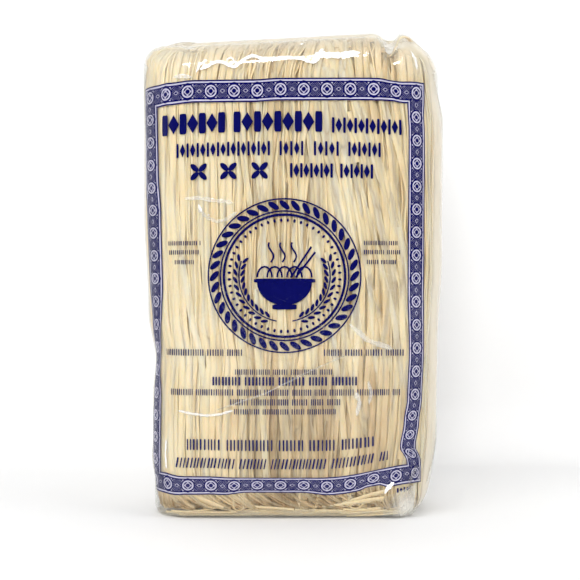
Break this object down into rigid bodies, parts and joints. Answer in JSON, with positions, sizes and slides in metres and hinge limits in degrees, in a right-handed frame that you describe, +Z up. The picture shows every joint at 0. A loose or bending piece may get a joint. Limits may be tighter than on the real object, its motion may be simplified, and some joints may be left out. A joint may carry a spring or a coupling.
{
  "type": "pack of dried rice stick noodles",
  "caption": "Upright clear film pack, filled tight with folded skeins of dried flat rice noodles, with a printed border on its front.",
  "frame": {"origin": "on the floor under the middle of the pack", "axes": "+Z up, along the noodles, -Y out of the printed front, +X to the right of someone facing the front"},
  "size_m": [0.1486, 0.0638, 0.2458],
  "materials": {
    "noodles": "dried rice paste, pale cream, satin and slightly translucent",
    "film": "clear glossy polypropylene film, tight and lightly crumpled",
    "print": "navy ink printed on the inside of the film"
  },
  "bodies": {
    "root": {"noodle_bag": "noodles"}
  },
  "joints": []
}
